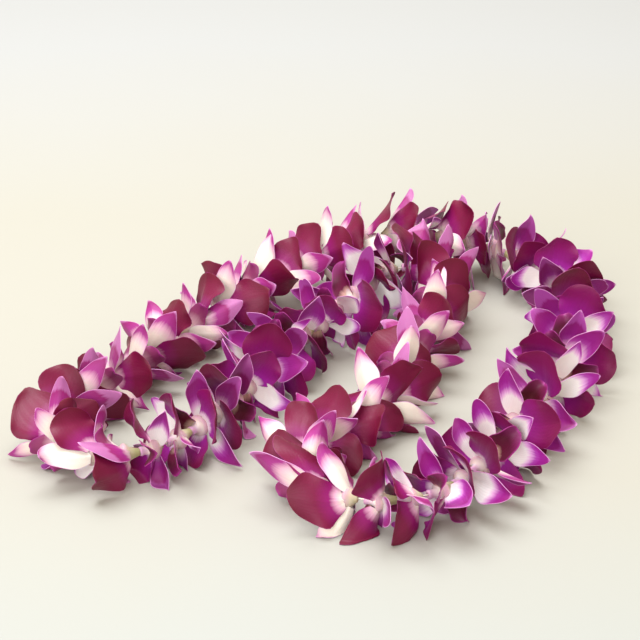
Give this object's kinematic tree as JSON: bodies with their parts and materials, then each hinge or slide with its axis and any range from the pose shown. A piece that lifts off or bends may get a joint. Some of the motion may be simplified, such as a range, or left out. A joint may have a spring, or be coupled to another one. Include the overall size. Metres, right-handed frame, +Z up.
{
  "type": "fresh flower lei",
  "caption": "Fresh orchid flower lei lying folded on a surface: magenta dendrobium blooms with white throats, strung closely on a cotton thread tied into one loop.",
  "frame": {"origin": "middle of the bounding box seen from above, at the surface that the lei lies on", "axes": "+Z up; -Y towards the front tip of the folded lei, +X to its right"},
  "size_m": [0.4062, 0.4194, 0.0678],
  "materials": {
    "orchid_bloom": "fresh orchid petals, wine to violet with white bases and backs, softly satin",
    "cotton_thread": "undyed twisted cotton stringing thread, matt"
  },
  "bodies": {
    "root": {"thread": "cotton_thread", "blooms_01": "orchid_bloom", "blooms_02": "orchid_bloom", "blooms_03": "orchid_bloom", "blooms_04": "orchid_bloom", "blooms_05": "orchid_bloom", "blooms_06": "orchid_bloom", "blooms_07": "orchid_bloom", "blooms_08": "orchid_bloom", "blooms_09": "orchid_bloom", "blooms_10": "orchid_bloom", "blooms_11": "orchid_bloom", "blooms_12": "orchid_bloom", "blooms_13": "orchid_bloom", "blooms_14": "orchid_bloom", "blooms_15": "orchid_bloom", "blooms_16": "orchid_bloom", "blooms_17": "orchid_bloom", "blooms_18": "orchid_bloom", "blooms_19": "orchid_bloom", "blooms_20": "orchid_bloom", "blooms_21": "orchid_bloom", "blooms_22": "orchid_bloom", "blooms_23": "orchid_bloom", "blooms_24": "orchid_bloom", "blooms_25": "orchid_bloom", "blooms_26": "orchid_bloom", "blooms_27": "orchid_bloom", "blooms_28": "orchid_bloom", "blooms_29": "orchid_bloom", "blooms_30": "orchid_bloom", "blooms_31": "orchid_bloom", "blooms_32": "orchid_bloom", "blooms_33": "orchid_bloom", "blooms_34": "orchid_bloom", "blooms_35": "orchid_bloom", "blooms_36": "orchid_bloom", "blooms_37": "orchid_bloom", "blooms_38": "orchid_bloom", "blooms_39": "orchid_bloom", "blooms_40": "orchid_bloom"}
  },
  "joints": []
}
